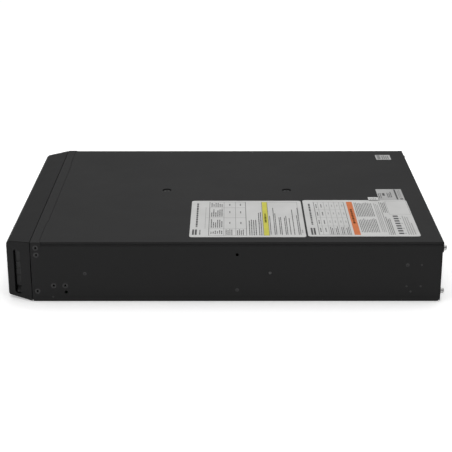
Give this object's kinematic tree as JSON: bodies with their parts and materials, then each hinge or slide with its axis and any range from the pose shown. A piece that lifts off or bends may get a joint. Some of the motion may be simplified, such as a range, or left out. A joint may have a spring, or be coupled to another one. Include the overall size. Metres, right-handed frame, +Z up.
{
  "type": "uninterruptible power supply",
  "caption": "Rack-mount uninterruptible power supply, two rack units high, with a clip-on bezel, tilting display, slide-out battery drawer, rear fans and mains sockets.",
  "frame": {"origin": "on the surface that the base stands on, under the middle of the whole object's box", "axes": "+Z up, +Y from the front bezel to the rear panel, +X to the right of someone facing the front"},
  "size_m": [0.432, 0.59, 0.0852],
  "materials": {
    "chassis_paint": "black powder coat with a fine satin texture",
    "bezel_plastic": "black moulded plastic, lightly spark-eroded",
    "zinc_steel": "bright zinc plate",
    "heat_sink": "extruded, clear anodised",
    "circuit_board": "green solder resist on fibreglass",
    "black_plastic": "moulded, satin",
    "battery_case": "moulded, matt",
    "winding": "enamelled copper wire",
    "capacitor_sleeve": "shrunk sleeve, glossy",
    "label": null,
    "display_lens": "polished dark window",
    "button_plastic": "moulded grey, satin"
  },
  "bodies": {
    "chassis": {"chassis_tray": "chassis_paint", "front_frame": "chassis_paint", "top_cover": "chassis_paint", "rear_panel": "chassis_paint", "slot_cover": "chassis_paint", "display_bracket": "zinc_steel", "battery_bay": "zinc_steel", "battery_socket": "black_plastic", "power_board": "circuit_board", "control_board": "circuit_board", "heat_sink_rectifier": "heat_sink", "heat_sink_inverter": "heat_sink", "bus_capacitor_1": "capacitor_sleeve", "bus_capacitor_2": "capacitor_sleeve", "bus_capacitor_3": "capacitor_sleeve", "charger_transformer": "winding", "input_choke": "winding", "output_choke": "winding", "fan_frame_left": "black_plastic", "fan_frame_right": "black_plastic", "ac_inlet": "black_plastic", "outlet_block_left": "black_plastic", "outlet_block_right": "black_plastic", "outlet_large": "black_plastic", "circuit_breaker": "black_plastic", "serial_port": "black_plastic", "usb_port": "zinc_steel", "epo_socket": "black_plastic", "external_battery_socket": "black_plastic", "ground_screw": "zinc_steel", "corner_screw_upper_right": "zinc_steel", "corner_screw_upper_left": "zinc_steel", "corner_screw_lower_right": "zinc_steel", "corner_screw_lower_left": "zinc_steel", "label_front": "label", "label_rear": "label"},
    "battery": {"battery_tray": "zinc_steel", "battery_block_1": "battery_case", "battery_block_2": "battery_case", "battery_block_3": "battery_case", "battery_block_4": "battery_case", "battery_block_5": "battery_case", "battery_block_6": "battery_case", "battery_handle": "black_plastic", "battery_plug": "black_plastic"},
    "battery_door": {"battery_door": "zinc_steel"},
    "door_screw_left": {"door_screw_left": "zinc_steel"},
    "door_screw_right": {"door_screw_right": "zinc_steel"},
    "bezel": {"bezel": "bezel_plastic"},
    "display": {"display_housing": "bezel_plastic", "display_window": "display_lens", "display_board": "circuit_board"},
    "power_button": {"power_button": "button_plastic"},
    "escape_button": {"escape_button": "button_plastic"},
    "up_button": {"up_button": "button_plastic"},
    "down_button": {"down_button": "button_plastic"},
    "ok_button": {"ok_button": "button_plastic"},
    "fan_rotor_left": {"fan_rotor_left": "black_plastic"},
    "fan_rotor_right": {"fan_rotor_right": "black_plastic"},
    "breaker_button": {"breaker_button": "button_plastic"}
  },
  "joints": [
    {"name": "battery_slide", "type": "slide", "parent": "chassis", "child": "battery", "axis": [0, -1, 0], "range_m": [0, 0.3]},
    {"name": "door_pull", "type": "slide", "parent": "battery", "child": "battery_door", "axis": [0, -1, 0], "range_m": [0, 0.06]},
    {"name": "bezel_pull", "type": "slide", "parent": "battery_door", "child": "bezel", "axis": [0, -1, 0], "range_m": [0, 0.12]},
    {"name": "door_screw_left_turn", "type": "hinge", "parent": "battery_door", "child": "door_screw_left", "pos_m": [-0.1975, -0.26, 0.0425], "axis": [0, 1, 0], "continuous": true},
    {"name": "door_screw_right_turn", "type": "hinge", "parent": "battery_door", "child": "door_screw_right", "pos_m": [0.0255, -0.26, 0.0425], "axis": [0, 1, 0], "continuous": true},
    {"name": "display_tilt", "type": "hinge", "parent": "chassis", "child": "display", "pos_m": [0.133, -0.286, 0.068], "axis": [-1, 0, 0], "range_deg": [0, 15]},
    {"name": "power_press", "type": "slide", "parent": "display", "child": "power_button", "axis": [0, 1, 0], "range_m": [0, 0.001], "stiffness_N_per_m": 500},
    {"name": "escape_press", "type": "slide", "parent": "display", "child": "escape_button", "axis": [0, 1, 0], "range_m": [0, 0.001], "stiffness_N_per_m": 500},
    {"name": "up_press", "type": "slide", "parent": "display", "child": "up_button", "axis": [0, 1, 0], "range_m": [0, 0.001], "stiffness_N_per_m": 500},
    {"name": "down_press", "type": "slide", "parent": "display", "child": "down_button", "axis": [0, 1, 0], "range_m": [0, 0.001], "stiffness_N_per_m": 500},
    {"name": "ok_press", "type": "slide", "parent": "display", "child": "ok_button", "axis": [0, 1, 0], "range_m": [0, 0.001], "stiffness_N_per_m": 500},
    {"name": "fan_spin_left", "type": "hinge", "parent": "chassis", "child": "fan_rotor_left", "pos_m": [0.069, 0.274, 0.0423], "axis": [0, 1, 0], "continuous": true},
    {"name": "fan_spin_right", "type": "hinge", "parent": "chassis", "child": "fan_rotor_right", "pos_m": [0.159, 0.274, 0.0423], "axis": [0, 1, 0], "continuous": true},
    {"name": "breaker_pop", "type": "slide", "parent": "chassis", "child": "breaker_button", "axis": [0, 1, 0], "range_m": [0, 0.004]}
  ]
}
